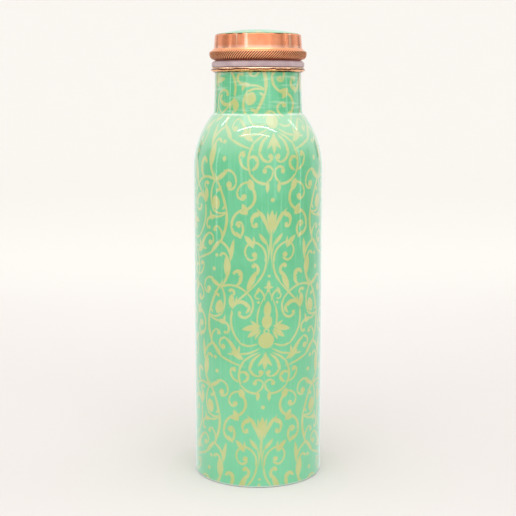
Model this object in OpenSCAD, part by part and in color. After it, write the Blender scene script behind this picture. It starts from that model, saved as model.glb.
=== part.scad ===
// Copper water bottle with a printed body and a screw cap.
// Millimetres. +Z is up, and the origin is the centre of the foot that it stands on.

/* [Body] */
// Outside diameter of the straight body, over the print
body_d = 76; // [70:0.5:82]
// Height at which the straight wall ends and the shoulder starts
shoulder_z = 184; // [150:1:210]
// Radius of the shoulder's curve, seen from the side
shoulder_round = 50; // [46:1:56]
// Radius of the bend between the wall and the foot
foot_round = 2; // [1.5:0.1:3]
// Inside diameter of the foot's turned-in flange
foot_in_d = 64; // [58:1:66]
// Thickness of the copper sheet of the body
wall = 0.5; // [0.4:0.05:0.8]
// Thickness of the lacquered print
print_t = 0.2; // [0.15:0.05:0.3]
// Height of the base panel above the foot
base_lift = 5.2; // [4:0.1:8]

/* [Neck] */
// Outside diameter at the foot of the neck, over the print
neck_base_d = 52; // [50:0.5:54]
// Outside diameter at the top of the neck, over the print
neck_top_d = 50.2; // [49.8:0.1:51]
// Length of the neck, from the shoulder to the lip
neck_h = 23.2; // [20:0.1:28]
// Radius of the crease between shoulder and neck
crease_round = 2.5; // [1.5:0.1:4]

/* [Mouth] */
// Diameter of the lip's edge
lip_d = 55; // [54:0.1:57]
// Thickness of the lip
lip_t = 3.1; // [2.8:0.1:3.6]
// Length of the threaded tube below the lip
mouth_tube_h = 13.5; // [12:0.1:18]

/* [Thread] */
// Rise of the thread in one turn
pitch = 3.5; // [3:0.1:4]
// Depth of the rounded thread
thread_depth = 1.2; // [0.8:0.1:1.3]
// Diameter over the cap's thread
thread_d = 46.2; // [45.6:0.1:46.4]
// Gap between the cap's thread and the mouth's, along the radius
thread_gap = 0.45; // [0.35:0.05:0.6]

/* [Cap] */
// Diameter of the knurled grip ring
grip_d = 56.8; // [55:0.1:58]
// Height of the grip ring up to the edge of its knurled band
grip_h = 5.5; // [5:0.1:6.5]
// Height of the hollow flare from the knurled band up to the cup
flare_h = 1.4; // [1:0.1:2]
// Diameter of the cup where it meets the grip ring
cup_base_d = 51.6; // [51:0.1:52.4]
// Diameter of the cup at its top edge
cup_top_d = 50.2; // [49.6:0.1:51]
// Height of the cup's wall above the flare
cup_h = 8.1; // [7:0.1:10]
// Height of the domed top over the cup's edge, print included
dome_h = 3; // [2:0.1:4]
// Thickness of the cup's sheet
cup_wall = 0.7; // [0.5:0.05:0.9]
// Length of the threaded sleeve below the grip ring
sleeve_h = 17; // [16:0.1:18]
// Inside diameter of the threaded sleeve
sleeve_bore_d = 42; // [41:0.1:42.2]

/* [Seal] */
// Thickness of the silicone ring
seal_t = 3.7; // [3:0.1:4.5]
// Outside diameter of the silicone ring
seal_d = 54.1; // [53:0.1:55]
// Inside diameter of the silicone ring
seal_in_d = 45.2; // [45:0.1:46]

/* [Hidden] */

$fn = 96;

copper = [0.80, 0.45, 0.33];
print_green = [0.47, 0.83, 0.63];
silicone = [0.69, 0.63, 0.66];
solder = [0.72, 0.70, 0.66];

copper_r = body_d / 2 - print_t;
neck_base_r = neck_base_d / 2 - print_t;
neck_top_r = neck_top_d / 2 - print_t;

// The crease is a round that touches the shoulder's curve and the neck's wall.
shoulder_c = [copper_r - shoulder_round, shoulder_z];
crease_x = neck_base_r + crease_round;
crease_reach = crease_x - shoulder_c[0];
crease_rise = sqrt(pow(shoulder_round + crease_round, 2) - pow(crease_reach, 2));
crease_c = [crease_x, shoulder_z + crease_rise];
crease_angle = atan2(crease_rise, crease_reach);

neck_z = crease_c[1];
lip_z = neck_z + neck_h - 1;
seal_z = lip_z + lip_t;
grip_z = seal_z + seal_t;
grip_top_z = grip_z + grip_h;
cup_z = grip_top_z + flare_h;
cup_top_z = cup_z + cup_h;

mouth_tube_r = neck_top_r - wall - 0.1;
male_root_r = thread_d / 2 - thread_depth;
shank_r = male_root_r + 0.4;
sleeve_z = grip_z - sleeve_h;
flange_t = 0.8;
flange_z = grip_top_z - 1.4;
flange_r = cup_base_d / 2 - cup_wall - 0.3;

// The cup's top is a low dome inside a rounded edge.
cup_bend = 1;
edge_r = cup_top_d / 2 - cup_bend;
copper_dome = dome_h - print_t;
dome_r = (edge_r * edge_r + copper_dome * copper_dome) / (2 * copper_dome);
dome_c = [0, cup_top_z + copper_dome - dome_r];
dome_edge = asin(edge_r / dome_r);

joint_gap = 0.05;
tin_gap = 0.02;

thread_sides = 40;
rings_a_turn = 8;

// Points along a round, from one angle to another.
function arc(c, r, from, to, steps) = [
    for (i = [0:steps])
        let (a = from + (to - from) * i / steps)
        c + r * [cos(a), sin(a)]
];

// Points along a quarter of an ellipse, from angle to angle.
function oval(c, rx, ry, from, to, steps) = [
    for (i = [0:steps])
        let (a = from + (to - from) * i / steps)
        c + [rx * cos(a), ry * sin(a)]
];

function reversed(points) = [for (i = [len(points) - 1:-1:0]) points[i]];

// 0 below one height, 1 above another, and smooth between them.
function ease(x, low, high) =
    let (t = min(max((x - low) / (high - low), 0), 1))
    t * t * (3 - 2 * t);

// The body's section from foot to crease, moved inwards by inset from the copper's outside.
function body_line(inset, foot_from) = concat(
    arc([copper_r - foot_round, foot_round], foot_round - inset, foot_from, 0, 6),
    arc(shoulder_c, shoulder_round - inset, 0, crease_angle, 24)
);

// The neck's section from the crease up to the lip.
function neck_line(inset) = concat(
    arc(crease_c, crease_round + inset, 180 + crease_angle, 180, 8),
    [[neck_top_r - inset, lip_z]]
);

module body_shell() {
    outside = concat([[foot_in_d / 2, 0]], body_line(0, -90), neck_line(0));
    inside = concat([[foot_in_d / 2, wall]], body_line(wall, -90), neck_line(wall));
    color(copper)
        rotate_extrude()
            polygon(concat(outside, reversed(inside)));
}

// The recessed base panel: a flange on the foot, a step up and a slightly domed middle.
module base_disc() {
    flange_out_r = copper_r - foot_round - 0.1;
    step_r = foot_in_d / 2 - 0.6;
    bend = 0.9;
    dome_r = 240;
    dome_z = base_lift - dome_r;
    dome_edge = asin((step_r - bend) / dome_r);
    lift = dome_r * (1 - cos(dome_edge));
    function section(t) = concat(
        [[flange_out_r, wall + t]],
        arc([step_r + bend, wall + bend], bend - t, -90, -180, 4),
        arc([step_r - bend, base_lift - lift - bend], bend + t, 0, 90, 4),
        [for (i = [1:8]) let (a = 90 - dome_edge * (1 - i / 8)) [0, dome_z] + (dome_r + t) * [cos(a), sin(a)]]
    );
    color(copper)
        rotate_extrude()
            polygon(concat(section(0), reversed(section(wall))));
}

// Solder that seals the base panel's flange into the foot.
module base_solder() {
    flange_out_r = copper_r - foot_round - 0.1;
    corner = [copper_r - foot_round, foot_round];
    fillet = 2;
    wall_r = copper_r - wall - tin_gap;
    top_z = 2 * wall + tin_gap;
    color(solder)
        rotate_extrude()
            polygon(concat(
                [[flange_out_r + tin_gap, top_z]],
                arc(corner, foot_round - wall - tin_gap, -80, 0, 5),
                arc([wall_r - fillet, top_z + fillet], fillet, 0, -90, 5)
            ));
}

module body_print() {
    outside = body_line(-print_t, -60);
    inside = body_line(0, -60);
    color(print_green)
        rotate_extrude()
            polygon(concat(outside, reversed(inside)));
}

module neck_print() {
    color(print_green)
        rotate_extrude()
            polygon(concat(neck_line(-print_t), reversed(neck_line(0))));
}

// A solid rod with a rounded thread. The thread grows between fade_in heights and dies between fade_out heights.
module thread_rod(root_r, depth, low, high, fade_in, fade_out, flare) {
    rings = ceil((high - low) / pitch * rings_a_turn);
    function radius(z, a) =
        root_r
        + depth * (0.5 + 0.5 * cos(360 * (z - sleeve_z) / pitch - a))
            * ease(z, fade_in[0], fade_in[1]) * (1 - ease(z, fade_out[0], fade_out[1]))
        + flare * ease(z, seal_z - 1.2, seal_z);
    points = concat(
        [
            for (i = [0:rings], k = [0:thread_sides - 1])
                let (z = low + (high - low) * i / rings, a = 360 * k / thread_sides)
                [radius(z, a) * cos(a), radius(z, a) * sin(a), z]
        ],
        [[0, 0, low], [0, 0, high]]
    );
    function at(i, k) = i * thread_sides + k % thread_sides;
    bottom = len(points) - 2;
    top = len(points) - 1;
    faces = concat(
        [for (i = [0:rings - 1], k = [0:thread_sides - 1]) [at(i, k), at(i + 1, k), at(i, k + 1)]],
        [for (i = [0:rings - 1], k = [0:thread_sides - 1]) [at(i + 1, k), at(i + 1, k + 1), at(i, k + 1)]],
        [for (k = [0:thread_sides - 1]) [bottom, at(0, k), at(0, k + 1)]],
        [for (k = [0:thread_sides - 1]) [top, at(rings, k + 1), at(rings, k)]]
    );
    polyhedron(points, faces);
}

// The mouth: a threaded tube with the bevelled lip that shows above the neck.
module mouth_ring() {
    tube_z = lip_z - mouth_tube_h;
    lip_r = lip_d / 2;
    edge_z = lip_z + 0.42 * lip_t;
    core_r = male_root_r - 1;
    color(copper)
        difference() {
            rotate_extrude()
                polygon(concat(
                    [
                        [core_r, tube_z],
                        [mouth_tube_r, tube_z],
                        [mouth_tube_r, lip_z],
                        [neck_top_r + 0.5, lip_z]
                    ],
                    arc([lip_r - 0.35, edge_z], 0.35, -60, 55, 4),
                    [[lip_r - 1.1, seal_z], [core_r, seal_z]]
                ));
            thread_rod(
                male_root_r + thread_gap, thread_depth,
                tube_z - 1, seal_z + 1,
                [sleeve_z - 3.5, sleeve_z - 1], [seal_z + 2, seal_z + 3], 0.5
            );
        }
}

// Solder that closes the gap between the mouth's tube and the neck.
module neck_solder() {
    tube_z = lip_z - mouth_tube_h;
    slope = (neck_base_r - neck_top_r) / (lip_z - neck_z);
    function neck_in_r(z) = neck_top_r + slope * (lip_z - z) - wall - tin_gap;
    color(solder)
        rotate_extrude()
            polygon([
                [mouth_tube_r + tin_gap, tube_z + 0.2],
                [neck_in_r(tube_z), tube_z],
                [neck_in_r(tube_z + 3), tube_z + 3],
                [mouth_tube_r + tin_gap, tube_z + 3]
            ]);
}

// The silicone ring: flat where it is pressed, and rounded up to the grip ring outside.
module seal_ring() {
    r = seal_d / 2;
    crown = 2.8;
    low_z = seal_z + tin_gap;
    high_z = grip_z - tin_gap;
    side_z = seal_z + 0.45 * seal_t;
    color(silicone)
        rotate_extrude()
            polygon(concat(
                [[seal_in_d / 2, low_z]],
                arc([r - 0.5, low_z + 0.5], 0.5, -90, 0, 4),
                oval([r - crown, side_z], crown, high_z - side_z, 0, 90, 8),
                [[seal_in_d / 2, high_z]]
            ));
}

// The grip ring, with a seat for the cup's edge and a step for the sleeve's flange.
module grip_ring() {
    r = grip_d / 2;
    belly = [4, 3.4];
    seat_z = cup_z - 1.1;
    cup_r = cup_base_d / 2 + joint_gap;
    color(copper)
        rotate_extrude()
            polygon(concat(
                [[shank_r + joint_gap, grip_z]],
                oval([r - belly[0], grip_z + belly[1]], belly[0], belly[1], -90, 0, 8),
                [[r, grip_top_z - 0.4], [r - 0.4, grip_top_z]],
                arc([r - 0.6, cup_z], flare_h, -90, -160, 6),
                [
                    [cup_r, cup_z],
                    [cup_r, seat_z],
                    [flange_r + joint_gap, seat_z],
                    [flange_r + joint_gap, flange_z],
                    [shank_r + joint_gap, flange_z]
                ]
            ));
}

// The dome's section from its edge to the axis, moved inwards by inset from the copper's outside.
function dome_line(inset) = arc(dome_c, dome_r - inset, 90 - dome_edge, 90, 12);

// The cup's section from a low edge to the axis.
function cup_line(inset, low) = concat(
    [[cup_base_d / 2 - inset, low]],
    arc([edge_r, cup_top_z - cup_bend], cup_bend - inset, 0, 80 - dome_edge, 5),
    dome_line(inset)
);

module cap_cup() {
    seat_z = cup_z - 1.1;
    color(copper)
        rotate_extrude()
            polygon(concat(cup_line(0, seat_z), reversed(cup_line(cup_wall, seat_z))));
}

// The print on the cap's domed top.
module cap_print() {
    color(print_green)
        rotate_extrude()
            polygon(concat(dome_line(-print_t), reversed(dome_line(0))));
}

// The threaded sleeve, held in the grip ring by a flange at its top.
module thread_sleeve() {
    thread_top = seal_z - 0.3;
    color(copper)
        difference() {
            union() {
                thread_rod(
                    male_root_r, thread_depth,
                    sleeve_z, thread_top,
                    [sleeve_z, sleeve_z + 1.5], [thread_top - 3, thread_top - 1], 0
                );
                translate([0, 0, thread_top])
                    cylinder(r = shank_r, h = flange_z - thread_top);
                translate([0, 0, flange_z])
                    cylinder(r = flange_r, h = flange_t);
            }
            translate([0, 0, sleeve_z - 1])
                cylinder(d = sleeve_bore_d, h = sleeve_h + grip_h + 2);
        }
}

// Solder that joins the sleeve's flange to the grip ring and the cup.
module cap_solder() {
    low = flange_z + flange_t + tin_gap;
    seat_z = cup_z - 1.1;
    cup_in_r = cup_base_d / 2 - cup_wall - tin_gap;
    fillet = 1.6;
    color(solder)
        rotate_extrude()
            polygon(concat(
                [[flange_r, low], [flange_r, seat_z + tin_gap], [cup_in_r - 0.1, seat_z + tin_gap]],
                arc([cup_in_r - 0.15 - fillet, low + fillet], fillet, 0, -90, 5)
            ));
}

body_shell();
base_disc();
base_solder();
body_print();
neck_print();
mouth_ring();
neck_solder();
seal_ring();
grip_ring();
cap_cup();
thread_sleeve();
cap_solder();
cap_print();
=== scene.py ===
"""Looks for a copper water bottle: a lacquered damask print over a drawn body, and a turned screw cap.

Lengths are in metres, in the CAD's frame. The print's ornament is drawn in millimetres.
"""

import math

import bpy
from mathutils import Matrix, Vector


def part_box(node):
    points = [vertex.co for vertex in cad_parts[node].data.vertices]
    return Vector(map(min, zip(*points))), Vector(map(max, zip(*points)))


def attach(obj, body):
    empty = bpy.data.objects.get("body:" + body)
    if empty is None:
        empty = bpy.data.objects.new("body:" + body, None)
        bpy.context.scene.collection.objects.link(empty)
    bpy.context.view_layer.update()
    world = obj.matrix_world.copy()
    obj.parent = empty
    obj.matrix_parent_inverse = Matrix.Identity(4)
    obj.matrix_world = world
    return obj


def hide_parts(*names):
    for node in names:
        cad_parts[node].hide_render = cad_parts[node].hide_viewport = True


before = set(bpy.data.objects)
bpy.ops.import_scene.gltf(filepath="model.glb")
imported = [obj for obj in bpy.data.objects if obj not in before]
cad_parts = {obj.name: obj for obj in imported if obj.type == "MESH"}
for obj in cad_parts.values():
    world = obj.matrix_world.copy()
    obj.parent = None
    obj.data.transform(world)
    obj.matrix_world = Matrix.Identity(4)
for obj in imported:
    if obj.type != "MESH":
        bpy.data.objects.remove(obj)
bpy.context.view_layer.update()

MM = 0.001


# ---------------------------------------------------------------- sizes, from the frame

def top(node):
    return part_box(node)[1][2]


def bottom(node):
    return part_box(node)[0][2]


def outer_radius(node):
    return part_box(node)[1][0]


PRINT_T = 0.2 * MM
BODY_R = outer_radius("body_print")
COPPER_R = BODY_R - PRINT_T
FOOT_ROUND = 2.0 * MM
SHOULDER_Z = 184 * MM
SHOULDER_ROUND = 50 * MM
SHOULDER_C = (COPPER_R - SHOULDER_ROUND, SHOULDER_Z)
NECK_Z = top("body_print")
LIP_Z = top("neck_print")
CREASE_ROUND = 2.5 * MM
NECK_BASE_R = 25.8 * MM
NECK_TOP_R = 24.9 * MM
SEAL_Z = top("mouth_ring")
GRIP_Z = bottom("grip_ring")
GRIP_R = outer_radius("grip_ring")
GRIP_TOP_Z = GRIP_Z + 5.5 * MM
FLARE_H = 1.4 * MM
CUP_Z = top("grip_ring")
CUP_BASE_R = outer_radius("cap_cup")
CUP_TOP_R = 25.1 * MM
CUP_TOP_Z = CUP_Z + 8.1 * MM
CUP_WALL = 0.7 * MM
CUP_BEND = 1.0 * MM


# ---------------------------------------------------------------- shader maths

class Wire:
    """One socket of a material. Arithmetic on it adds Math nodes."""

    def __init__(self, finish, socket):
        self.finish = finish
        self.socket = socket

    def __add__(self, other):
        return self.finish.math("ADD", self, other)

    def __radd__(self, other):
        return self.finish.math("ADD", other, self)

    def __sub__(self, other):
        return self.finish.math("SUBTRACT", self, other)

    def __rsub__(self, other):
        return self.finish.math("SUBTRACT", other, self)

    def __mul__(self, other):
        return self.finish.math("MULTIPLY", self, other)

    def __rmul__(self, other):
        return self.finish.math("MULTIPLY", other, self)

    def __truediv__(self, other):
        return self.finish.math("DIVIDE", self, other)

    def __mod__(self, other):
        return self.finish.math("FLOORED_MODULO", self, other)

    def __neg__(self):
        return self.finish.math("MULTIPLY", self, -1.0)

    def __abs__(self):
        return self.finish.math("ABSOLUTE", self)

    def __gt__(self, other):
        return self.finish.math("GREATER_THAN", self, other)


class Finish:
    """A material with a Principled shader, whose other nodes are made one by one."""

    def __init__(self, name, **sockets):
        self.material = bpy.data.materials.new(name)
        self.material.use_nodes = True
        self.tree = self.material.node_tree
        self.shader = self.tree.nodes["Principled BSDF"]
        self.set(**sockets)

    def set(self, **sockets):
        """Sets or links sockets of the Principled shader, named with _ for a space."""
        for name, value in sockets.items():
            self.plug(self.shader.inputs[name.replace("_", " ")], value)

    def plug(self, socket, value):
        if isinstance(value, Wire):
            self.tree.links.new(value.socket, socket)
        else:
            socket.default_value = value

    def make(self, kind, settings, values, output=0):
        """Any node: its settings are set first, then its sockets take numbers or wires."""
        node = self.tree.nodes.new("ShaderNode" + kind)
        for name, value in settings.items():
            setattr(node, name, value)
        for name, value in values.items():
            self.plug(node.inputs[name], value)
        return Wire(self, node.outputs[output])

    def math(self, operation, *values):
        return self.make("Math", {"operation": operation}, dict(enumerate(values)))

    def measure(self, operation, point, other):
        """A Vector Math node that gives a number."""
        return self.make("VectorMath", {"operation": operation}, {0: point, 1: other}, "Value")

    def place(self):
        """The place on the piece, as x, y and z in metres."""
        point = self.make("TexCoord", {}, {}, "Object")
        return point, [self.make("SeparateXYZ", {}, {0: point}, axis) for axis in "XYZ"]

    def join(self, x, y, z):
        return self.make("CombineXYZ", {}, {0: x, 1: y, 2: z})

    def noise(self, point, scale, detail=3.0, roughness=0.5):
        return self.make(
            "TexNoise", {}, {"Vector": point, "Scale": scale, "Detail": detail, "Roughness": roughness}, "Fac"
        )

    def ease(self, value, low, high, start=0.0, end=1.0):
        """A smooth step: start where the value is low, end where it is high."""
        return self.make(
            "MapRange",
            {"interpolation_type": "SMOOTHSTEP"},
            {"Value": value, "From Min": low, "From Max": high, "To Min": start, "To Max": end},
        )

    def mix(self, share, first, second):
        """A colour between two colours."""
        return self.make(
            "Mix", {"data_type": "RGBA"}, {"Factor": share, 6: first, 7: second}, 2
        )

    def bump(self, height, strength, distance):
        return self.make("Bump", {}, {"Height": height, "Strength": strength, "Distance": distance})


def rgb(red, green, blue):
    """A colour from 0 to 255 as seen on a screen, as the shader's linear colour."""
    def linear(value):
        value /= 255
        return value / 12.92 if value <= 0.04045 else ((value + 0.055) / 1.055) ** 2.4
    return (linear(red), linear(green), linear(blue), 1.0)


# ---------------------------------------------------------------- the damask's ornament

# The ornament repeats in a cell of HALF_CELL by PERIOD millimetres. It is mirrored at x = 0, and
# the cell beyond x = HALF_CELL is the same drawing mirrored and set DROP higher.
HALF_CELL = 31.75
PERIOD = 120.0
DROP = PERIOD / 2
CELL_LOW = 62.0

# Strokes: points along circular arcs (end, middle, end, middle, end ...) and half widths at the ends.
STROKES = [
    # the lotus's ogee outline, and the florets beside its finial
    ([(4.6, 95), (5.7, 101.5), (4.6, 107), (2.8, 111.5), (0.3, 116.5)], [0.4, 0.5, 0.4]),
    ([(2.2, 111.5), (3.0, 115.3), (5.6, 117.6)], [0.45, 0.6]),
    ([(7.0, 115.2), (6.7, 112.6), (5.0, 112.5)], [0.5, 0.4]),
    # the stem from under the lotus up to the side bud, and the bud's comma and loop
    ([(5.3, 86.2), (10.5, 84.8), (14.5, 86.2), (19.3, 92.2), (20.5, 104.6)], [0.5, 0.6, 0.7]),
    ([(20.3, 114.0), (20.7, 116.7), (22.9, 115.8)], [0.6, 0.9]),
    ([(20.3, 107.0), (15.0, 110.2), (11.3, 107.4), (11.1, 105.6), (12.4, 104.4)], [1.0, 1.2, 0.8]),
    ([(12.2, 115.4), (8.5, 109.5), (9.9, 103.4), (12.6, 101.3), (16.3, 103.0)], [0.4, 0.65, 0.8]),
    # the stem from the knot down to the loop, with its curl
    ([(2.2, 133.5), (3.0, 128.0), (7, 121.6), (12, 116.2), (17.9, 111.2)], [0.55, 0.6, 0.9]),
    ([(7.8, 126.3), (6.6, 130.0), (9.2, 132.2)], [0.9, 0.8]),
    # the twin stems and the scroll circles
    ([(0.6, 151), (0.45, 142), (1.3, 134)], [0.5, 0.4]),
    ([(2.6, 133.5), (4.2, 141.3), (9.3, 144.8), (14.2, 141.0), (13.2, 136.2), (10.6, 134.4), (8.0, 136.2)],
     [0.6, 0.55, 0.6, 0.7]),
    ([(2.6, 145.0), (1.4, 141), (1.0, 136)], [0.4, 0.35]),
    # the tulip's side petals
    ([(1.6, 150.2), (3.6, 156), (7.0, 160.2), (10.9, 158.8), (10.9, 155.2), (10.0, 153.6), (8.2, 154.2)],
     [0.6, 1.5, 0.7, 0.7]),
    # the pair of S scrolls
    ([(11.8, 174.8), (10.1, 169.9), (14.6, 163.2)], [0.8, 0.8]),
    ([(13.6, 177.4), (18.3, 176.3), (20.3, 172.7), (19.3, 169.7), (16.4, 169.0)], [0.5, 0.6, 0.7]),
    ([(17.2, 162.8), (22.2, 158.2), (22.8, 153), (21.6, 149.9), (18.3, 148.3)], [0.7, 0.8, 0.9]),
    ([(17.6, 147.8), (16.1, 151.8), (17.2, 155.0), (18.8, 155.9), (20.0, 154.0)], [0.7, 0.8, 0.6]),
    # the palmette's foot, arcs and curls
    ([(3.4, 177.0), (9.4, 178.1), (13.3, 181.6)], [0.7, 0.55]),
    ([(13.3, 61.6), (14.9, 68.4), (12.2, 75.4)], [0.55, 0.7]),
    ([(12.2, 75.4), (9.0, 78.4), (4.6, 80.4)], [0.7, 0.5]),
    ([(3.2, 178.2), (0.9, 180.6), (0.8, 183.2), (3.0, 184.9), (5.3, 184.0)], [0.6, 0.5, 0.6]),
    ([(3.0, 79.6), (7.2, 75.6), (8.2, 71.2), (6.4, 68.0), (3.9, 67.2)], [0.5, 0.8, 0.6]),
    ([(3.9, 67.2), (2.0, 67.8), (1.3, 69.5)], [0.6, 0.7]),
    ([(14.7, 67.8), (11.9, 69.3), (9.9, 67.0), (10.3, 64.6), (12.4, 63.7)], [0.5, 1.0, 0.7]),
    ([(14.3, 63.5), (18.4, 65.4), (19.9, 69.0), (19.2, 70.9), (17.5, 71.0)], [0.5, 0.7, 0.8]),
    ([(4.4, 83.2), (9.2, 80.7), (15.5, 80.0)], [0.5, 0.6]),
    ([(17.4, 79.0), (20.4, 85.4), (24.6, 88.6), (28.0, 86.6), (27.6, 83.4)], [1.5, 0.6, 0.6]),
    # the long vine at the side
    ([(35.8, 181.0), (30.0, 171.8), (26.9, 162), (26.5, 154), (29.4, 146.2)], [0.6, 0.9, 0.9]),
    ([(29.4, 146.2), (32.8, 141.6), (36.8, 138.0)], [0.9, 0.8]),
    ([(36.8, 138.0), (42.5, 135.2), (49.5, 133.2)], [0.8, 0.55]),
    # the loop round the side's bud, and the branches off it
    ([(28.4, 118.6), (25.6, 110.5), (27.8, 102.6)], [0.55, 0.7]),
    ([(27.8, 102.6), (31.6, 100.6), (36.6, 101.6)], [0.7, 0.45]),
    ([(28.4, 98.6), (32.4, 98.7), (36.6, 101.2)], [0.6, 0.5]),
    ([(25.2, 97.6), (22.3, 94.6), (23.6, 91.5)], [0.7, 0.7]),
    ([(34.2, 84.6), (34.0, 89.9), (31.4, 92.9), (29.5, 92.5), (28.5, 90.8)], [0.7, 0.55, 0.7]),
    # the pair of bud leaves at the side, with their stalks
    ([(22.9, 135.6), (25.6, 141.6), (30.2, 144.4)], [0.8, 0.7]),
    ([(24.2, 127.5), (25.6, 122.4), (28.6, 118.2)], [1.0, 0.6]),
    ([(25.6, 135.2), (27.2, 137.6), (29.7, 135.9)], [0.6, 0.8]),
    # the hook, the cross vine and its curl
    ([(20.2, 119.2), (16.8, 121.4), (16.7, 125.2)], [0.4, 1.35]),
    ([(16.7, 125.2), (18.6, 128.0), (20.6, 126.0)], [1.35, 0.8]),
    ([(12.4, 115.6), (19.5, 119.4), (28.2, 118.2)], [0.5, 0.65]),
    ([(34.5, 122.4), (39.4, 122.4), (42.0, 117.0)], [0.6, 0.55]),
    ([(42.0, 117.0), (40.9, 114.8), (37.6, 114.4)], [0.55, 0.7]),
]

# Leaves: from one tip to the other, and how far each side swells, left and right of that way.
LEAVES = [
    # the lotus: heart, inner petal, finial and side petals
    ((0, 94.6), (0, 103.5), 2.9, 2.9),
    ((0, 100.5), (0, 111), 2.1, 2.1),
    ((0, 117.3), (0, 123), 1.0, 1.0),
    ((-2.6, 118.9), (2.6, 118.9), 0.8, 0.9),
    ((3.6, 96.5), (14.3, 94.3), 1.7, 1.7),
    ((3.8, 95), (10.8, 89.8), 1.6, 1.3),
    ((3.8, 96), (9.4, 99.6), 0.5, 1.1),
    ((3.4, 94), (6.6, 88.6), 1.0, 0.6),
    ((5.2, 118.9), (7.0, 114.6), 0.9, 0.9),
    # the side bud
    ((20.0, 105.8), (21.0, 114.8), 1.0, 2.6),
    ((19.6, 107.5), (18.2, 113.2), 0.9, 0.2),
    ((12.3, 116.6), (7.4, 128.2), 1.6, 1.8),
    # leaves on the scroll circles and the twin stems
    ((9.6, 141.3), (15.2, 148.4), 1.8, 1.1),
    ((9.3, 142.5), (9.9, 148.0), 0.7, 0.7),
    ((2.1, 143.2), (6.9, 149.8), 1.0, 1.1),
    # the tulip
    ((0, 149.5), (0, 163), 1.7, 1.7),
    ((0.2, 150), (2.7, 162), 1.0, 1.0),
    ((3.4, 157.5), (8.4, 162.8), 1.1, 0.8),
    # the S scrolls
    ((11.4, 173.6), (13.8, 179.3), 1.7, 2.0),
    ((14.0, 160.0), (17.2, 166.4), 1.6, 1.6),
    ((14.2, 160.4), (19.6, 162.2), 1.1, 0.9),
    ((16.7, 146.6), (20.4, 150.6), 0.8, 1.2),
    # the palmette
    ((3.4, 172.4), (3.6, 178.6), 1.3, 0.9),
    ((0, 70.8), (0, 81.2), 1.4, 1.4),
    ((0.4, 79.5), (4.2, 73.0), 0.5, 1.5),
    ((3.6, 80.0), (9.4, 70.0), 1.9, -0.3),
    # the leaf with the long curl
    ((12.6, 76.6), (20.4, 81.2), 1.7, 1.5),
    ((15.2, 84.8), (16.4, 77.5), 0.9, 0.9),
    ((18.5, 79.2), (22.8, 79.4), 0.7, 0.5),
    # the side's vines
    ((29.8, 145.4), (37.0, 137.8), 1.1, 1.1),
    ((28.4, 110.6), (30.6, 102.4), 2.6, 2.9),
    ((29.2, 112.2), (33.4, 115.4), 0.7, 0.9),
    ((25.0, 102.0), (26.8, 96.2), 0.7, 1.0),
    ((23.6, 97.6), (29.8, 98.6), 1.3, 1.3),
    ((21.2, 146.2), (22.9, 133.0), 1.6, 1.0),
    ((24.6, 123.6), (25.4, 137.0), 2.4, 2.1),
    ((28.0, 118.0), (37.0, 123.0), 1.0, 1.5),
    ((27.4, 165.2), (29.6, 162.6), 0.6, 0.8),
    ((30.9, 174.2), (34.4, 173.4), 0.6, 0.7),
]

# Dots: centre and radius.
DOTS = [
    ((0.0, 88.0), 4.5), ((0, 117), 0.9), ((0, 125.3), 0.75), ((5.4, 110.2), 0.8),
    ((16.1, 103.9), 1.0), ((9.2, 131.1), 1.15), ((8.9, 137.5), 1.5), ((8.8, 154.8), 1.0),
    ((16.4, 170.3), 1.5), ((18.7, 154.0), 1.15), ((0.0, 168.6), 1.1), ((5.3, 182.9), 1.2),
    ((2.3, 69.5), 1.25), ((17.8, 70.2), 1.1), ((25.7, 83.2), 1.6), ((24.6, 91.9), 0.95),
    ((29.3, 91.0), 1.05), ((32.3, 136.4), 1.1), ((34.0, 128.3), 1.2), ((37.9, 116.2), 1.75),
]

# The small ring between the lotus and the ball: centre, radius and half width.
RING = ((0.0, 93.4), 1.3, 0.4)

# Roundings of the strokes' ends and leaves' tips, and the fillet where two shapes meet.
ROUNDING = 0.5
FILLET = 0.35
# A shape this much beyond the cell, and its half width more, still has a say inside it.
REACH = 0.6


def circle_through(start, middle, end):
    """The centre and radius of the circle through three points."""
    (ax, ay), (mx, my), (bx, by) = start, middle, end
    twice_area = 2 * (ax * (my - by) + mx * (by - ay) + bx * (ay - my))
    a2, m2, b2 = ax * ax + ay * ay, mx * mx + my * my, bx * bx + by * by
    x = (a2 * (my - by) + m2 * (by - ay) + b2 * (ay - my)) / twice_area
    y = (a2 * (bx - mx) + m2 * (ax - bx) + b2 * (mx - ax)) / twice_area
    return (x, y), math.hypot(ax - x, ay - y)


def drawn_shapes():
    """Each shape with the copies of it that reach the cell, as (kind, points, numbers)."""
    shapes = []
    for points, widths in STROKES:
        for i in range(0, len(points) - 2, 2):
            shapes.append(("stroke", points[i:i + 3], (widths[i // 2], widths[i // 2 + 1])))
    shapes += [("leaf", [a, b], (left, right)) for a, b, left, right in LEAVES]
    shapes += [("dot", [centre], (radius,)) for centre, radius in DOTS]
    shapes.append(("ring", [RING[0]], RING[1:]))
    reach = []
    for kind, points, numbers in shapes:
        for mirrored in (False, True):
            for dropped in (False, True):
                for turn in (-2, -1, 0, 1, 2):
                    places = []
                    for x, y in points:
                        x = -x if mirrored else x
                        if dropped:
                            x, y = 2 * HALF_CELL - x, y + DROP
                        places.append((x, y + turn * PERIOD))
                    swap = kind == "leaf" and mirrored != dropped
                    margin = max(numbers) + REACH
                    xs = [x for x, y in places]
                    ys = [y for x, y in places]
                    inside = (
                        max(xs) + margin > 0 and min(xs) - margin < HALF_CELL
                        and max(ys) + margin > CELL_LOW and min(ys) - margin < CELL_LOW + PERIOD
                    )
                    if inside:
                        reach.append((kind, places, numbers[::-1] if swap else numbers))
    return reach


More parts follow.
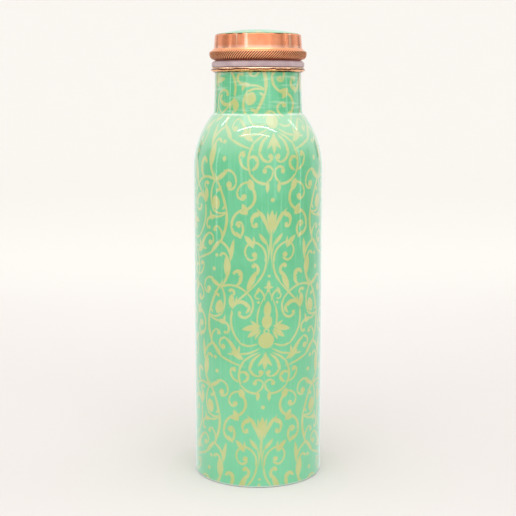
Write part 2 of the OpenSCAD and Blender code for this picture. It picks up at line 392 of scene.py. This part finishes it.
def stroke_distance(finish, point, places, widths):
    """Distance to an arc of a circle whose half width goes evenly from one end to the other."""
    (cx, cy), radius = circle_through(*places)
    start, middle, end = [math.atan2(y - cy, x - cx) for x, y in places]
    sweep = (end - start) % (2 * math.pi)
    if (middle - start) % (2 * math.pi) > sweep:
        sweep -= 2 * math.pi
    towards = start + sweep / 2
    ex, ey = math.cos(towards), math.sin(towards)
    chord = radius * math.cos(sweep / 2)
    gain = (widths[1] - widths[0]) / 2 / (radius * math.sin(sweep / 2))
    gx, gy = -gain * ey, gain * ex
    width = finish.measure("DOT_PRODUCT", point, (gx, gy, sum(widths) / 2 - gx * cx - gy * cy))
    off_line = abs(finish.measure("DISTANCE", point, (cx, cy, 1)) - radius) - width
    off_end = finish.measure("DOT_PRODUCT", point, (-ex, -ey, chord + ex * cx + ey * cy))
    return finish.math("SMOOTH_MAX", off_line, off_end, ROUNDING)


def leaf_distance(finish, point, places, swells):
    """Distance to the lens between two arcs from tip to tip. A negative swell hollows that side."""
    (ax, ay), (bx, by) = places
    length = math.hypot(bx - ax, by - ay)
    left = (-(by - ay) / length, (bx - ax) / length)
    sides = []
    for swell, side in zip(swells, (1, -1)):
        radius = ((length / 2) ** 2 + swell ** 2) / (2 * abs(swell))
        off = (swell - math.copysign(radius, swell)) * side
        centre = ((ax + bx) / 2 + left[0] * off, (ay + by) / 2 + left[1] * off, 1)
        distance = finish.measure("DISTANCE", point, centre)
        sides.append(distance - radius if swell > 0 else radius - distance)
    return finish.math("SMOOTH_MAX", *sides, ROUNDING)


def ornament_distance(finish, x, y):
    """Distance in millimetres to the nearest edge of the ornament, negative inside it."""
    dropped = finish.math("PINGPONG", x, 2 * HALF_CELL) > HALF_CELL
    cell_x = finish.math("PINGPONG", x, HALF_CELL)
    cell_y = (y - dropped * DROP - CELL_LOW) % PERIOD + CELL_LOW
    point = finish.join(cell_x, cell_y, 1.0)
    nearest = None
    for kind, places, numbers in drawn_shapes():
        if kind == "stroke":
            distance = stroke_distance(finish, point, places, numbers)
        elif kind == "leaf":
            distance = leaf_distance(finish, point, places, numbers)
        else:
            distance = finish.measure("DISTANCE", point, (*places[0], 1)) - numbers[0]
            if kind == "ring":
                distance = abs(distance) - numbers[1]
        nearest = distance if nearest is None else finish.math("SMOOTH_MIN", nearest, distance, FILLET)
    return nearest


# ---------------------------------------------------------------- materials

GREEN = rgb(98, 196, 143)
GREEN_DEEP = rgb(84, 188, 132)
GREEN_PALE = rgb(128, 206, 160)
GREEN_LOW = rgb(134, 218, 174)
STRAW = rgb(190, 194, 116)
STRAW_PALE = rgb(200, 203, 134)
# colours of painted highlights: glints on the crinkles and the foot's edge; the shoulder's paleness, also
# used for pale patches on the neck; the line along the crease
PAINTED_HIGHLIGHT = rgb(230, 248, 246)
PALE_HIGHLIGHT_AND_WRINKLE = rgb(216, 232, 206)
CREASE_HIGHLIGHT = rgb(240, 250, 244)
# The body's film: its axis is this far round at the foot, leans this much, and is stretched
# by this much over the shoulder.
AXIS_AT_FOOT = 0.6
AXIS_SLANT = 0.046
SHOULDER_STRETCH = 4.8
STRETCH_Z = (168.0, 206.0)
# The neck's film is upside down: the pattern's place at the start, and its change round and up.
NECK_ACROSS = (30.4, -22.9)
NECK_UP = (407.03, -1.07)
# The cap's film has the lotus near the middle of the top, under a thinner gloss.
CAP_UP = 98.0
CAP_GLOSS_LOSS = 0.7
# Heights between which the green is paler low down, a highlight is painted over the shoulder, and a highlight
# is painted along the film's edge at the foot.
LOW_Z = (20.0, 130.0)
SHOULDER_HIGHLIGHT_Z = (186.0, 212.0)
FOOT_EDGE_Z = (0.7, 1.7)


def lacquered_print():
    """The green lacquer with the straw-coloured damask, for the body, the neck and the cap's top."""
    finish = Finish(
        "lacquered_print", Coat_Roughness=0.04, Coat_IOR=1.65, IOR=1.4,
        Sheen_Weight=1.0, Sheen_Roughness=0.3, Sheen_Tint=rgb(226, 252, 255),
    )
    point, (x, y, z) = finish.place()
    angle = finish.math("ARCTAN2", x, -y)
    height = z / MM
    on_neck = z > NECK_Z - 0.02 * MM
    on_cap = z > CUP_Z
    # the body's film, with its seam at the back
    half_round = math.pi * BODY_R / MM
    stretch = finish.ease(height, *STRETCH_Z, 0.0, SHOULDER_STRETCH)
    along = angle * (BODY_R / MM) - height * AXIS_SLANT - AXIS_AT_FOOT
    body_x = (along + half_round) % (2 * half_round) - half_round
    body_y = height - stretch
    # the neck's film, upside down
    neck_x = angle * NECK_ACROSS[1] + NECK_ACROSS[0]
    neck_y = height * NECK_UP[1] + NECK_UP[0]
    across = body_x + on_neck * (neck_x - body_x)
    up = body_y + on_neck * (neck_y - body_y)
    across = across + on_cap * (x / MM - across)
    up = up + on_cap * (y / MM + CAP_UP - up)
    wobble = (finish.noise(point, 260.0, 2.0) - 0.5) * 0.35
    distance = ornament_distance(finish, abs(across), up) + wobble
    inked = finish.ease(distance, -0.42, 0.4, 1.0, 0.0)
    # uneven ink, fine grain and faint upright streaks in the lacquer
    mottle = finish.noise(point, 55.0, 4.0, 0.6)
    streak = finish.noise(finish.join(angle * 24.0, height * 0.02, 0.0), 1.0, 3.0)
    grain = finish.noise(point, 1400.0, 1.0)
    green = finish.mix(finish.ease(mottle, 0.3, 0.7), GREEN_DEEP, GREEN)
    green = finish.mix(finish.ease(streak, 0.5, 0.8, 0.0, 0.55), green, GREEN_PALE)
    green = finish.mix(finish.ease(height, *LOW_Z, 0.42, 0.0), green, GREEN_LOW)
    straw = finish.mix(finish.ease(mottle, 0.35, 0.65), STRAW, STRAW_PALE)
    straw = finish.mix(finish.ease(grain, 0.5, 0.9, 0.0, 0.25), straw, GREEN_PALE)
    film = finish.mix(inked * 0.93, green, straw)
    # a painted highlight, paler over the shoulder, and a painted highlight line along the crease where the
    # films meet, on top of the real one
    film = finish.mix(finish.ease(height, *SHOULDER_HIGHLIGHT_Z, 0.0, 0.36) * (1 - on_neck), film, PALE_HIGHLIGHT_AND_WRINKLE)
    wrinkle = finish.noise(finish.join(angle * 1.5, 0.0, height * 0.42), 1.0, 2.0)
    film = finish.mix(finish.ease(wrinkle, 0.5, 0.75, 0.0, 0.4) * on_neck, film, PALE_HIGHLIGHT_AND_WRINKLE)
    # the crease's painted highlight line
    crease = finish.ease(abs(height - (NECK_Z / MM - 0.1)), 0.25, 0.75, 0.5, 0.0)
    crease = crease * finish.ease(finish.noise(finish.join(angle * 2.6, 8.0, 0.0), 1.0, 2.0), 0.3, 0.55)
    film = finish.mix(crease, film, CREASE_HIGHLIGHT)
    # crinkles in the film, with painted glints on their peaks, and a painted highlight along the film's edge
    # at the foot
    crinkled = finish.ease(finish.noise(point, 19.0, 2.0), 0.6, 0.7) * (1 - on_cap)
    crinkle = finish.noise(point, 360.0, 2.0, 0.6) * crinkled
    film = finish.mix(finish.ease(crinkle, 0.54, 0.66, 0.0, 0.3), film, PAINTED_HIGHLIGHT)
    film = finish.mix(finish.ease(height, *FOOT_EDGE_Z, 0.7, 0.0), film, PAINTED_HIGHLIGHT)
    finish.set(
        Base_Color=film,
        Roughness=0.34 + mottle * 0.18,
        Coat_Weight=1 - on_cap * CAP_GLOSS_LOSS,
        Normal=finish.bump(mottle + grain * 0.15 + crinkle * 2.5, 0.12, 0.3 * MM),
    )
    return finish.material


def polished_copper():
    """Turned and polished copper, with upright light and dark streaks of painted reflection, a painted
    highlight just above the grip ring, and a dark broken line at the top's edge.
    """
    finish = Finish(
        "polished_copper", Metallic=1.0,
        Sheen_Weight=0.35, Sheen_Roughness=0.16, Sheen_Tint=rgb(255, 236, 230),
    )
    point, (x, y, z) = finish.place()
    angle = finish.math("ARCTAN2", x, -y)
    marks = finish.noise(finish.join(angle * 0.6, 0.0, z * 9000.0), 1.0, 3.0)
    tarnish = finish.noise(point, 90.0, 4.0, 0.6)
    # painted reflections: upright light and dark streaks in the copper's colour
    streak = finish.noise(finish.join(angle * 7.5, 0.3, z * 26.0), 1.0, 2.5, 0.6)
    colour = finish.mix(finish.ease(tarnish, 0.35, 0.7), rgb(232, 144, 104), rgb(246, 164, 124))
    colour = finish.mix(finish.ease(streak, 0.54, 0.7, 0.0, 0.75), colour, rgb(255, 214, 190))
    colour = finish.mix(finish.ease(streak, 0.3, 0.42, 0.3, 0.0), colour, rgb(196, 106, 70))
    # a painted highlight: paler on the cup just above the grip ring
    colour = finish.mix(finish.ease(z, CUP_Z, CUP_Z + 2.2 * MM, 0.6, 0.0), colour, rgb(255, 214, 194))
    # a dark broken line along the top's edge
    broken_line_noise = finish.noise(finish.join(angle * 4.0, 5.1, z * 300.0), 1.0, 3.0)
    rim = finish.ease(z, CUP_TOP_Z - 0.9 * MM, CUP_TOP_Z - 0.2 * MM) * finish.ease(broken_line_noise, 0.5, 0.62)
    colour = finish.mix(rim, colour, rgb(92, 40, 20))
    finish.set(
        Base_Color=colour,
        Roughness=0.15 + marks * 0.1 + tarnish * 0.06,
        Normal=finish.bump(marks, 0.15, 0.04 * MM),
    )
    return finish.material


def knurled_copper():
    """The same copper on the grip ring, with painted shade down in the knurl's grooves and towards the ring's
    lower edge.
    """
    finish = Finish("knurled_copper", Metallic=1.0)
    point, (x, y, z) = finish.place()
    tarnish = finish.noise(point, 120.0, 4.0, 0.6)
    turn = finish.math("ARCTAN2", y, x) * (KNURL_TEETH / (2 * math.pi))
    climb = (z - KNURL_LOW) / KNURL_PITCH
    rising = finish.math("PINGPONG", turn - climb, 0.5)
    falling = finish.math("PINGPONG", turn + climb, 0.5)
    in_band = finish.ease(z, GRIP_Z + 0.3 * MM, GRIP_Z + 0.9 * MM) * finish.ease(
        z, GRIP_TOP_Z - 0.5 * MM, GRIP_TOP_Z - 0.1 * MM, 1.0, 0.0
    )
    # painted shade down in the knurl's grooves, which are also rougher
    shaded_groove = finish.math(
        "MAXIMUM", finish.ease(rising, 0.2, 0.36), finish.ease(falling, 0.32, 0.5, 0.0, 0.3)
    )
    # painted shade, darker towards the ring's lower, rounded edge
    low = finish.ease(z, GRIP_Z, GRIP_Z + 3.0 * MM, 0.3, 0.0)
    colour = finish.mix(tarnish, rgb(255, 162, 112), rgb(255, 190, 146))
    colour = finish.mix(low, colour, rgb(150, 76, 44))
    finish.set(
        Base_Color=finish.mix(shaded_groove * in_band, colour, rgb(50, 14, 3)),
        Roughness=0.22 + tarnish * 0.12 + shaded_groove * in_band * 0.2,
        Normal=finish.bump(tarnish, 0.1, 0.05 * MM),
    )
    return finish.material


def drawn_copper():
    """Bare drawn copper of the body, inside and under the foot: duller, with a brown bloom."""
    finish = Finish("drawn_copper", Metallic=1.0)
    point, (x, y, z) = finish.place()
    angle = finish.math("ARCTAN2", x, -y)
    drawing = finish.noise(finish.join(angle * 40.0, 0.0, z * 60.0), 1.0, 3.0)
    bloom = finish.noise(point, 60.0, 5.0, 0.6)
    colour = finish.mix(finish.ease(bloom, 0.4, 0.7), rgb(214, 124, 88), rgb(160, 84, 56))
    finish.set(
        Base_Color=colour,
        Roughness=0.3 + bloom * 0.2 + drawing * 0.08,
        Normal=finish.bump(drawing, 0.2, 0.05 * MM),
    )
    return finish.material


def lip_copper():
    """The mouth's lip, filed by hand: golden, with a painted highlight on the bevel, a thin dark wavy line of
    painted reflection, and painted shade along its lower edge and just under the seal.
    """
    finish = Finish("lip_copper", Metallic=1.0)
    _, (x, y, z) = finish.place()
    angle = finish.math("ARCTAN2", x, -y)
    height = z / MM
    wave = (finish.noise(finish.join(angle * 3.4, 0.7, 0.0), 1.0, 3.0, 0.6) - 0.5) * 1.7
    wave_low = (finish.noise(finish.join(angle * 4.6, 4.7, 0.0), 1.0, 2.0, 0.6) - 0.5) * 2.6
    fine = finish.noise(finish.join(angle * 60.0, 0.0, z * 900.0), 1.0, 2.0)
    # a thin dark wavy line of painted reflection, and a dark line of painted shade along the lip's lower edge
    line = finish.ease(abs(height - (LIP_Z / MM + 1.8) - wave), 0.25, 0.55, 1.0, 0.0)
    edge = finish.ease(height - (LIP_Z / MM + 0.35) - wave_low, 0.0, 0.35, 1.0, 0.0)
    colour = finish.mix(fine, rgb(240, 158, 98), rgb(255, 206, 150))
    below_seal = SEAL_Z / MM - height
    # a painted highlight on the upper bevel
    bevel = finish.ease(below_seal, 0.75, 1.0, 1.0, 0.0)
    colour = finish.mix(bevel, colour, rgb(255, 218, 184))
    dark = finish.math("MAXIMUM", line, edge)
    colour = finish.mix(dark, colour, rgb(84, 30, 10))
    # painted shade just under the seal
    shade_under_seal = finish.ease(below_seal, 0.2, 0.35, 1.0, 0.0)
    colour = finish.mix(shade_under_seal, colour, rgb(120, 60, 40))
    finish.set(
        Base_Color=colour,
        Roughness=0.2 + fine * 0.15,
        Normal=finish.bump(fine + wave, 0.3, 0.1 * MM),
    )
    return finish.material


def grey_silicone():
    """Soft, slightly see-through grey silicone."""
    finish = Finish(
        "grey_silicone", Subsurface_Weight=0.35, Subsurface_Scale=0.002,
        Subsurface_Radius=(1.0, 0.8, 0.9), IOR=1.41,
    )
    point, _ = finish.place()
    cloud = finish.noise(point, 160.0, 3.0)
    speck = finish.noise(point, 1500.0, 1.0)
    colour = finish.mix(finish.ease(cloud, 0.35, 0.7), rgb(182, 160, 164), rgb(202, 182, 184))
    finish.set(
        Base_Color=finish.mix(finish.ease(speck, 0.5, 0.8, 0.0, 0.4), colour, rgb(158, 138, 146)),
        Roughness=0.42 + speck * 0.15,
        Normal=finish.bump(speck, 0.15, 0.08 * MM),
    )
    return finish.material


def tin_solder():
    """Grey solder with a slightly rippled skin."""
    finish = Finish("tin_solder", Metallic=1.0)
    point, _ = finish.place()
    ripple = finish.noise(point, 380.0, 3.0)
    finish.set(
        Base_Color=finish.mix(ripple, rgb(150, 148, 142), rgb(205, 202, 194)),
        Roughness=0.32 + ripple * 0.2,
        Normal=finish.bump(ripple, 0.4, 0.2 * MM),
    )
    return finish.material


def studio_paper():
    """The pale paper sweep, a graduated sheet: a little greyer on the floor than on the wall."""
    finish = Finish("studio_paper")
    point, (_, y, _) = finish.place()
    tooth = finish.noise(point, 3.0, 2.0)
    shade = finish.mix(finish.ease(y, 0.0, 0.9), rgb(226, 220, 218), rgb(251, 248, 244))
    finish.set(
        Base_Color=finish.mix(tooth * 0.2, shade, rgb(251, 249, 245)),
        Roughness=0.9 + tooth * 0.1,
    )
    return finish.material


# ---------------------------------------------------------------- making pieces

def dress(piece, material, body, slot, *nodes):
    """Gives a piece its material and its body, and hides the CAD nodes that it stands for. Its slot is not
    used.
    """
    piece.data.materials.clear()
    piece.data.materials.append(material)
    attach(piece, body)
    if nodes:
        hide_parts(*nodes)


def arc(centre, radius, start, end, steps):
    """Points along an arc, in degrees, in the section's plane."""
    points = []
    for i in range(steps + 1):
        angle = math.radians(start + (end - start) * i / steps)
        points.append((centre[0] + radius * math.cos(angle), centre[1] + radius * math.sin(angle)))
    return points


def oval(centre, wide, high, start, end, steps):
    """Points along part of an ellipse, in degrees."""
    points = []
    for i in range(steps + 1):
        angle = math.radians(start + (end - start) * i / steps)
        points.append((centre[0] + wide * math.cos(angle), centre[1] + high * math.sin(angle)))
    return points


def turned(name, outline, steps, closed=True, smooth=35):
    """A turned piece: a vertex is extruded along the outline's (radius, height) points and spun."""
    bpy.ops.object.select_all(action="DESELECT")
    bpy.ops.mesh.primitive_plane_add(size=MM)
    piece = bpy.context.object
    piece.name = piece.data.name = name
    bpy.ops.object.mode_set(mode="EDIT")
    bpy.ops.mesh.select_mode(type="VERT")
    bpy.ops.mesh.select_all(action="SELECT")
    bpy.ops.mesh.merge(type="CENTER")
    bpy.ops.transform.translate(value=(outline[0][0], 0, outline[0][1]))
    for (r0, z0), (r1, z1) in zip(outline, outline[1:]):
        bpy.ops.mesh.extrude_region_move(TRANSFORM_OT_translate={"value": (r1 - r0, 0, z1 - z0)})
    if closed:
        bpy.ops.object.mode_set(mode="OBJECT")
        last = len(piece.data.vertices) - 1
        for vertex in piece.data.vertices:
            vertex.select = vertex.index in (0, last)
        bpy.ops.object.mode_set(mode="EDIT")
        bpy.ops.mesh.edge_face_add()
    bpy.ops.mesh.select_all(action="SELECT")
    bpy.ops.mesh.spin(steps=steps, angle=2 * math.pi, center=(0, 0, 0), axis=(0, 0, 1))
    bpy.ops.mesh.select_all(action="SELECT")
    bpy.ops.mesh.remove_doubles(threshold=1e-6)
    bpy.ops.mesh.normals_make_consistent(inside=False)
    bpy.ops.object.mode_set(mode="OBJECT")
    bpy.ops.object.shade_smooth_by_angle(angle=math.radians(smooth))
    return piece


def smoothed(node, angle=35):
    """A copy of a CAD node with its triangles joined, so that its round faces shade smoothly."""
    bpy.ops.object.select_all(action="DESELECT")
    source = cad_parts[node]
    piece = source.copy()
    piece.data = source.data.copy()
    piece.name = piece.data.name = node + "_smooth"
    piece.parent = None
    piece.matrix_world.identity()
    bpy.context.scene.collection.objects.link(piece)
    piece.select_set(True)
    bpy.context.view_layer.objects.active = piece
    bpy.ops.mesh.customdata_custom_splitnormals_clear()
    bpy.ops.object.mode_set(mode="EDIT")
    bpy.ops.mesh.select_all(action="SELECT")
    bpy.ops.mesh.remove_doubles(threshold=1e-6)
    bpy.ops.object.mode_set(mode="OBJECT")
    bpy.ops.object.shade_smooth_by_angle(angle=math.radians(angle))
    return piece


# ---------------------------------------------------------------- the body and the neck

copper = polished_copper()
bare = drawn_copper()
printed = lacquered_print()
solder = tin_solder()

crease_x = NECK_BASE_R + CREASE_ROUND
crease_reach = crease_x - SHOULDER_C[0]
crease_rise = math.sqrt((SHOULDER_ROUND + CREASE_ROUND) ** 2 - crease_reach ** 2)
crease_c = (crease_x, SHOULDER_Z + crease_rise)
crease_angle = math.degrees(math.atan2(crease_rise, crease_reach))


def body_line(outset):
    """The printed body's section from the foot to the crease, moved out from the copper."""
    foot_c = (COPPER_R - FOOT_ROUND, FOOT_ROUND)
    return (
        arc(foot_c, FOOT_ROUND + outset, -60, 0, 6)
        + arc(SHOULDER_C, SHOULDER_ROUND + outset, 0, crease_angle, 40)
    )


def neck_line(outset):
    """The neck's section from the crease to the lip, moved out from the copper."""
    return (
        arc(crease_c, CREASE_ROUND - outset, 180 + crease_angle, 180, 10)
        + [(NECK_TOP_R + outset, LIP_Z)]
    )


body_film = turned("body_film", body_line(PRINT_T) + body_line(0)[::-1], 160)
dress(body_film, printed, "bottle", "print", "body_print")
neck_film = turned("neck_film", neck_line(PRINT_T) + neck_line(0)[::-1], 160)
dress(neck_film, printed, "bottle", "print", "neck_print")

for node, material, slot in (
    ("body_shell", bare, "copper"),
    ("base_disc", bare, "copper"),
    ("base_solder", solder, "solder"),
    ("neck_solder", solder, "solder"),
    ("mouth_ring", lip_copper(), "copper"),
):
    dress(smoothed(node), material, "bottle", slot, node)

dress(smoothed("seal_ring"), grey_silicone(), "seal", "silicone", "seal_ring")


# ---------------------------------------------------------------- the cap

SHANK_R = 22.35 * MM
SEAT_Z = CUP_Z - 1.1 * MM
FLANGE_Z = GRIP_TOP_Z - 1.4 * MM
FLANGE_R = 24.85 * MM
GRIP_CLEAR = 0.05 * MM
BELLY = (4.0 * MM, 3.4 * MM)
# The knurl: teeth round the ring, four steps to a tooth, and its two sets of grooves.
KNURL_TEETH = 114
KNURL_STEPS = 4 * KNURL_TEETH
KNURL_ROWS = 12
KNURL_PITCH = 2 * math.pi * GRIP_R / KNURL_TEETH
KNURL_DEEP = 0.38 * MM
KNURL_SHALLOW = 0.14 * MM
KNURL_LOW = GRIP_Z + 0.45 * MM
KNURL_STEP = KNURL_PITCH / 4


def grip_ring():
    """The grip ring: its outline spun, then the band's points pushed out between two sets of grooves."""
    root = GRIP_R - KNURL_DEEP - KNURL_SHALLOW
    belly_c = (root - BELLY[0], GRIP_Z + BELLY[1])
    band = []
    for i in range(KNURL_ROWS + 1):
        z = KNURL_LOW + KNURL_STEP * i
        sag = max(0.0, (belly_c[1] - z) / BELLY[1])
        band.append((belly_c[0] + BELLY[0] * math.sqrt(1 - sag * sag), z))
    start = math.degrees(math.asin((KNURL_LOW - belly_c[1]) / BELLY[1]))
    flare_c = (GRIP_R - 0.7 * MM, CUP_Z)
    outline = (
        [(SHANK_R, GRIP_Z)]
        + oval(belly_c, BELLY[0], BELLY[1], -90, start - 4, 5)
        + band
        + arc(flare_c, FLARE_H, -95, -160, 8)
        + [
            (CUP_BASE_R + GRIP_CLEAR, CUP_Z),
            (CUP_BASE_R + GRIP_CLEAR, SEAT_Z),
            (FLANGE_R, SEAT_Z),
            (FLANGE_R, FLANGE_Z),
            (SHANK_R, FLANGE_Z),
        ]
    )
    ring = turned("knurled_ring", outline, KNURL_STEPS, smooth=50)
    mesh = ring.data
    levels = {}
    for vertex in mesh.vertices:
        x, y, z = vertex.co
        row = (z - KNURL_LOW) / KNURL_STEP
        off_row = abs(row - round(row)) > 0.01 or not 0 < round(row) < KNURL_ROWS
        if math.hypot(x, y) < CUP_BASE_R or off_row:
            continue
        tooth = round(math.atan2(y, x) / (2 * math.pi / KNURL_STEPS))
        rising = abs((tooth - round(row)) % 4 - 2) / 2
        falling = abs((tooth + round(row)) % 4 - 2) / 2
        push = KNURL_DEEP * rising + KNURL_SHALLOW * falling
        levels.setdefault(round(push / MM, 3), []).append(vertex.index)
    for push, chosen in levels.items():
        mesh.vertices.foreach_set("select", [False] * len(mesh.vertices))
        mesh.edges.foreach_set("select", [False] * len(mesh.edges))
        mesh.polygons.foreach_set("select", [False] * len(mesh.polygons))
        for index in chosen:
            mesh.vertices[index].select = True
        bpy.ops.object.mode_set(mode="EDIT")
        scale = 1 + push * MM / root
        bpy.ops.transform.resize(value=(scale, scale, 1), center_override=(0, 0, 0))
        bpy.ops.object.mode_set(mode="OBJECT")
    return ring


dress(grip_ring(), knurled_copper(), "cap", "copper", "grip_ring")

edge_r = CUP_TOP_R - CUP_BEND
dome_h = top("cap_print") - PRINT_T - CUP_TOP_Z
dome_r = (edge_r ** 2 + dome_h ** 2) / (2 * dome_h)
dome_c = (0.0, CUP_TOP_Z + dome_h - dome_r)
dome_edge = math.degrees(math.asin(edge_r / dome_r))


def dome_line(inset):
    """The cap's domed top from its edge to the axis."""
    return arc(dome_c, dome_r - inset, 90 - dome_edge, 90, 16)


def cup_line(inset):
    """The cup's section from its lower edge to the axis."""
    return (
        [(CUP_BASE_R - inset, SEAT_Z)]
        + arc((edge_r, CUP_TOP_Z - CUP_BEND), CUP_BEND - inset, 0, 80 - dome_edge, 6)
        + dome_line(inset)
    )


cup = turned("cap_cup_turned", cup_line(0)[::-1] + cup_line(CUP_WALL), 128, closed=False)
dress(cup, copper, "cap", "copper", "cap_cup")
cap_film = turned("cap_film", dome_line(-PRINT_T)[::-1] + dome_line(0), 128, closed=False)
dress(cap_film, printed, "cap", "print", "cap_print")
dress(smoothed("thread_sleeve"), copper, "cap", "copper", "thread_sleeve")
dress(smoothed("cap_solder"), solder, "cap", "solder", "cap_solder")


# ---------------------------------------------------------------- floor, light and camera

# The paper sweep, the cards, and the camera: metres and degrees.
PAPER_SIZE = 10.0
PAPER_Y = -3.0
PAPER_BEND = 1.5
PAPER_BEND_STEPS = 24
PAPER_WALL = 4.0
CARD_T = 0.005
FELT_SPREAD = 8
SHOULDER = (0, 0, 0.205)
CAMERA_PLACE = (0, -0.673, 0.2324)
CAMERA_DROP = 8.65
CAMERA_LENS = 79.3

def sweep():
    """A paper sweep: the floor, a wide bend and a wall behind."""
    bpy.ops.object.select_all(action="DESELECT")
    bpy.ops.mesh.primitive_plane_add(size=PAPER_SIZE, location=(0, PAPER_Y, 0))
    paper = bpy.context.object
    paper.name = "paper_sweep"
    bpy.ops.object.transform_apply(location=True)
    back = max(vertex.co.y for vertex in paper.data.vertices)
    for vertex in paper.data.vertices:
        vertex.select = abs(vertex.co.y - back) < 1e-4
    for edge in paper.data.edges:
        edge.select = all(paper.data.vertices[i].select for i in edge.vertices)
    for face in paper.data.polygons:
        face.select = False
    bpy.ops.object.mode_set(mode="EDIT")
    quarter = math.pi / 2
    length = PAPER_BEND * quarter / PAPER_BEND_STEPS
    for i in range(PAPER_BEND_STEPS):
        angle = quarter * (i + 0.5) / PAPER_BEND_STEPS
        step = (0, length * math.cos(angle), length * math.sin(angle))
        bpy.ops.mesh.extrude_region_move(TRANSFORM_OT_translate={"value": step})
    bpy.ops.mesh.extrude_region_move(TRANSFORM_OT_translate={"value": (0, 0, PAPER_WALL)})
    bpy.ops.object.mode_set(mode="OBJECT")
    bpy.ops.object.shade_smooth()
    paper.data.materials.append(studio_paper())


def softbox(name, place, aim, size, power):
    """A rectangular area light at a place, facing a point."""
    light = bpy.data.lights.new(name, "AREA")
    light.shape = "RECTANGLE"
    light.size, light.size_y = size
    light.energy = power
    lamp = bpy.data.objects.new(name, light)
    bpy.context.scene.collection.objects.link(lamp)
    lamp.location = place
    way = [a - p for a, p in zip(aim, place)]
    flat = math.hypot(way[0], way[1])
    lamp.rotation_euler = (math.pi / 2 + math.atan2(way[2], flat), 0, math.atan2(-way[0], way[1]))


def card(name, azimuth, distance, low, size, colour):
    """An upright felt card at an azimuth round the bottle, 0 towards the camera, raised by low.

    The bottle's gloss and copper mirror it, and the camera doesn't see it.
    """
    turn = math.radians(azimuth)
    bpy.ops.object.select_all(action="DESELECT")
    bpy.ops.mesh.primitive_plane_add(
        size=1,
        location=(distance * math.sin(turn), -distance * math.cos(turn), low + size[1] / 2),
        rotation=(math.pi / 2, 0, turn),
    )
    piece = bpy.context.object
    piece.name = name
    piece.scale = (size[0], size[1], 1)
    bpy.ops.object.transform_apply(location=True, rotation=True, scale=True)
    bpy.ops.object.mode_set(mode="EDIT")
    away = (CARD_T * math.sin(turn), -CARD_T * math.cos(turn), 0)
    bpy.ops.mesh.extrude_region_move(TRANSFORM_OT_translate={"value": away})
    bpy.ops.mesh.select_all(action="SELECT")
    bpy.ops.mesh.normals_make_consistent(inside=False)
    bpy.ops.object.mode_set(mode="OBJECT")
    finish = Finish(name + "_felt", Roughness=1.0)
    felt = finish.noise(finish.place()[0], 60.0)
    lighter = [value + FELT_SPREAD for value in colour]
    finish.set(Base_Color=finish.mix(felt, rgb(*colour), rgb(*lighter)))
    piece.data.materials.append(finish.material)
    piece.visible_camera = False


def strip(name, azimuth, elevation, distance, size, power):
    """An area light at an azimuth and a height angle round the bottle's shoulder."""
    turn, lift = math.radians(azimuth), math.radians(elevation)
    flat = distance * math.cos(lift)
    place = (flat * math.sin(turn), -flat * math.cos(turn), SHOULDER[2] + distance * math.sin(lift))
    softbox(name, place, SHOULDER, size, power)


sweep()
# name, azimuth, elevation, distance, (width, height), watts
strip("front_panel", 0, 5, 1.2, (1.34, 0.5), 0.9)
strip("front_left", -29, 5, 1.15, (0.09, 0.5), 0.16)
strip("front_right", 30, 5, 1.15, (0.09, 0.5), 0.16)
strip("left_strip", -77, 4, 0.85, (0.05, 0.5), 0.14)
strip("right_strip", 79, 4, 0.85, (0.05, 0.5), 0.14)
strip("top_box", 0, 78, 0.9, (0.8, 0.5), 1.6)
strip("shoulder_arc", -3, 57, 0.8, (1.0, 0.02), 0.9)
strip("shoulder_low", -6, 46, 0.8, (0.7, 0.014), 0.3)
strip("shoulder_left", -101, 43, 0.8, (0.04, 0.16), 0.12)
strip("shoulder_right", 99, 40, 0.8, (0.05, 0.2), 0.12)
# name, azimuth, distance, height of the lower edge, (width, height), felt colour
card("left_card", -136, 0.9, 0.215, (0.17, 0.14), (60, 40, 34))
card("right_card", 136, 0.9, 0.215, (0.17, 0.14), (60, 40, 34))
card("left_grey", -80, 0.9, 0.02, (0.9, 0.42), (172, 164, 156))
card("right_grey", 80, 0.9, 0.02, (0.9, 0.42), (172, 164, 156))

world = bpy.data.worlds.new("studio")
world.use_nodes = True
sky = world.node_tree.nodes["Background"]
sky.inputs["Color"].default_value = (1.0, 0.998, 0.992, 1.0)
sky.inputs["Strength"].default_value = 1.0
bpy.context.scene.world = world

bpy.context.scene.view_settings.view_transform = "Standard"
bpy.context.scene.view_settings.look = "None"

camera = bpy.data.objects.new("camera", bpy.data.cameras.new("camera"))
bpy.context.scene.collection.objects.link(camera)
camera.data.lens = CAMERA_LENS
camera.location = CAMERA_PLACE
camera.rotation_euler = (math.radians(90 - CAMERA_DROP), 0, 0)
bpy.context.scene.camera = camera
